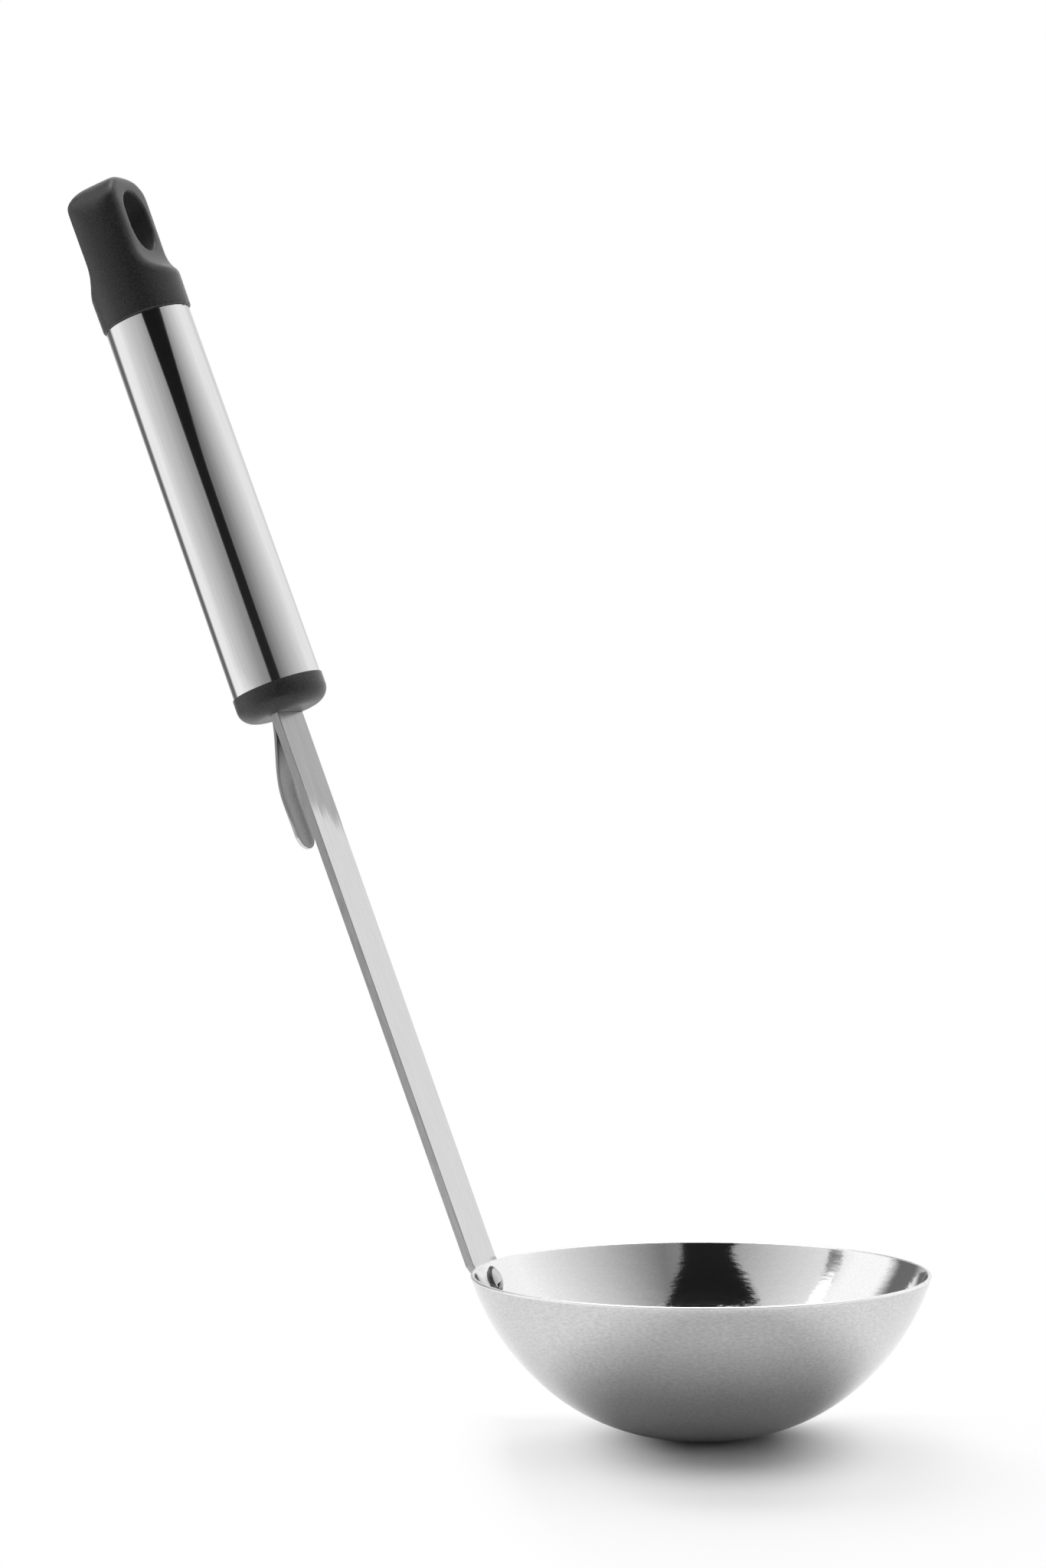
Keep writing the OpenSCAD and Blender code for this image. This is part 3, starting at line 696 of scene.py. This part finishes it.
def makeFloor():
    bm = bmesh.new()
    bmesh.ops.create_circle(bm, cap_ends=True, radius=studio["floorSize"], segments=studio["floorSides"])
    floor = meshObject("floor", bm)
    # to the camera it is pure white but for the shadow round the ladle's foot; metal mirrors plain paper
    material, tree = emptyMaterial("white paper floor, fading out at its edge")
    coords = addNode(tree, "ShaderNodeTexCoord")
    seenFrom = addNode(tree, "ShaderNodeMapping",
                       {"vector_type": "TEXTURE", "Rotation": (0, 0, cameraTurn())},
                       {"Vector": coords.outputs["Object"]})
    behind = addNode(tree, "ShaderNodeSeparateXYZ", links={0: seenFrom.outputs[0]})
    drawnIn = addNode(tree, "ShaderNodeVectorMath",
                      {"operation": "MULTIPLY_ADD", 1: (1, 1 / studio["frontStretch"], 0),
                       2: (-studio["whiteSide"], 0, 0)},
                      {0: seenFrom.outputs[0]})
    away = addNode(tree, "ShaderNodeVectorMath", {"operation": "LENGTH"}, {0: coords.outputs["Object"]})
    around = addNode(tree, "ShaderNodeVectorMath", {"operation": "LENGTH"}, {0: drawnIn.outputs[0]})
    toTheRight = addNode(tree, "ShaderNodeVectorMath", {"operation": "ADD", 1: (-studio["farSide"], 0, 0)},
                         {0: drawnIn.outputs[0]})
    further = addNode(tree, "ShaderNodeVectorMath", {"operation": "LENGTH"}, {0: toTheRight.outputs[0]})
    fade = smoothRange(tree, studio["floorFade"], away.outputs["Value"])
    far = smoothRange(tree, studio["whiteFar"], further.outputs["Value"])
    back = smoothRange(tree, studio["whiteBehind"], behind.outputs["Y"])
    near = smoothRange(tree, studio["whiteNear"], around.outputs["Value"])
    near.inputs["To Max"].default_value = studio["nearShare"]
    outer = addNode(tree, "ShaderNodeMath", {"operation": "MAXIMUM"}, {0: far.outputs[0], 1: back.outputs[0]})
    either = addNode(tree, "ShaderNodeMath", {"operation": "MAXIMUM"},
                     {0: outer.outputs[0], 1: near.outputs[0]})
    rays = addNode(tree, "ShaderNodeLightPath")
    share = addNode(tree, "ShaderNodeMath", {"operation": "MULTIPLY"},
                    {0: either.outputs[0], 1: rays.outputs["Is Camera Ray"]})
    paper = addNode(tree, "ShaderNodeBsdfDiffuse", {"Color": toLinear(studio["floorTone"])})
    white = addNode(tree, "ShaderNodeEmission", {"Color": (1, 1, 1, 1), "Strength": 1.0})
    seen = addNode(tree, "ShaderNodeMixShader",
                   links={0: share.outputs[0], 1: paper.outputs[0], 2: white.outputs[0]})
    gone = addNode(tree, "ShaderNodeBsdfTransparent")
    faded = addNode(tree, "ShaderNodeMixShader",
                    links={0: fade.outputs[0], 1: seen.outputs[0], 2: gone.outputs[0]})
    addNode(tree, "ShaderNodeOutputMaterial", links={"Surface": faded.outputs[0]})
    floor.data.materials.append(material)


def makeCameraGap():
    # the dark slit of the tent, which the camera looks through and which runs on overhead: metal mirrors it
    s = studio
    bm = bmesh.new()
    half = s["gapWidth"] / 2
    low = [bm.verts.new((s["gapShift"] + side * half, -s["gapAway"], s["gapLow"])) for side in (-1, 1)]
    high = [bm.verts.new((s["gapShift"] + side * half, -s["gapAway"], s["gapBend"])) for side in (-1, 1)]
    bm.faces.new((low[0], low[1], high[1], high[0]))
    edge = bm.edges.get(high)
    bmesh.ops.spin(bm, geom=[edge], cent=(0, 0, s["gapBend"]), axis=(-1, 0, 0),
                   angle=radians(s["gapTurn"]), steps=s["gapSteps"])
    for v in bm.verts:
        v.co.x *= 1 + s["gapFlare"] * max(0, v.co.z - s["flareFrom"])
        v.co.x += s["gapSlant"] * max(s["slantFrom"] - v.co.z, s["slantLeast"])
    bmesh.ops.transform(bm, matrix=aroundMatrix(), verts=bm.verts)
    gap = meshObject("camera_gap", bm)
    gap.visible_camera = False
    gap.visible_diffuse = False
    gap.visible_shadow = False
    material, tree = emptyMaterial("black velvet")
    cloth = addNode(tree, "ShaderNodeBsdfDiffuse", {"Color": toLinear(s["gapTone"])})
    addNode(tree, "ShaderNodeOutputMaterial", links={"Surface": cloth.outputs[0]})
    gap.data.materials.append(material)


def makeTent():
    world = bpy.data.worlds.new("light tent")
    scene.world = world
    world.use_nodes = True
    tree = world.node_tree
    tree.nodes.clear()
    turn = cameraTurn()
    coords = addNode(tree, "ShaderNodeTexCoord")
    ahead = addNode(tree, "ShaderNodeVectorMath", {"operation": "DOT_PRODUCT", 1: (sin(turn), -cos(turn), 0)},
                    {0: coords.outputs["Generated"]})
    aside = addNode(tree, "ShaderNodeVectorMath", {"operation": "DOT_PRODUCT", 1: (cos(turn), sin(turn), 0)},
                    {0: coords.outputs["Generated"]})
    angle = addNode(tree, "ShaderNodeMath", {"operation": "ARCTAN2"},
                    {0: aside.outputs["Value"], 1: ahead.outputs["Value"]})
    spread = addNode(tree, "ShaderNodeMapRange", {"From Min": -pi, "From Max": pi},
                     {"Value": angle.outputs[0]})
    ramp = addNode(tree, "ShaderNodeValToRGB", links={0: spread.outputs[0]})
    stops = ramp.color_ramp.elements
    stops.remove(stops[-1])
    for i, (degree, value) in enumerate(studio["tent"]):
        where = (degree + 180) / 360
        stop = stops[0] if i == 0 else stops.new(where)
        stop.position = where
        stop.color = (value, value, value, 1)
    height = addNode(tree, "ShaderNodeSeparateXYZ", links={0: coords.outputs["Generated"]})
    top = smoothRange(tree, (studio["topStart"], studio["topEnd"]), height.outputs["Z"])
    tent = addNode(tree, "ShaderNodeMix", {"data_type": "RGBA", 7: [studio["topLight"]] * 3 + [1]},
                   {0: top.outputs[0], 6: ramp.outputs[0]})
    rays = addNode(tree, "ShaderNodeLightPath")
    seen = addNode(tree, "ShaderNodeMix", {"data_type": "RGBA", 7: (1, 1, 1, 1)},
                   {0: rays.outputs["Is Camera Ray"], 6: tent.outputs[2]})
    strength = addNode(tree, "ShaderNodeMapRange", {"To Min": 1.0, "To Max": studio["diffuseShare"]},
                       {"Value": rays.outputs["Is Diffuse Ray"]})
    background = addNode(tree, "ShaderNodeBackground",
                         links={"Color": seen.outputs[2], "Strength": strength.outputs[0]})
    addNode(tree, "ShaderNodeOutputWorld", links={"Surface": background.outputs[0]})


def makeLamp(name, values):
    # a soft far lamp; "around" counts from the camera's side, + to the right
    light = bpy.data.lights.new(name, "SUN")
    light.energy = values["strength"]
    light.angle = radians(values["angle"])
    lamp = bpy.data.objects.new(name, light)
    side, up = radians(values["around"]), radians(values["up"])
    towards = aroundMatrix() @ Vector((sin(side) * cos(up), -cos(side) * cos(up), sin(up)))
    lamp.rotation_euler = towards.to_track_quat("Z", "Y").to_euler()
    lamp.visible_glossy = False
    scene.collection.objects.link(lamp)


makeFloor()
makeCameraGap()
makeTent()
makeLamp("soft lamp from behind", studio["backLamp"])
scene.view_settings.view_transform = "Standard"
print("studio ready")
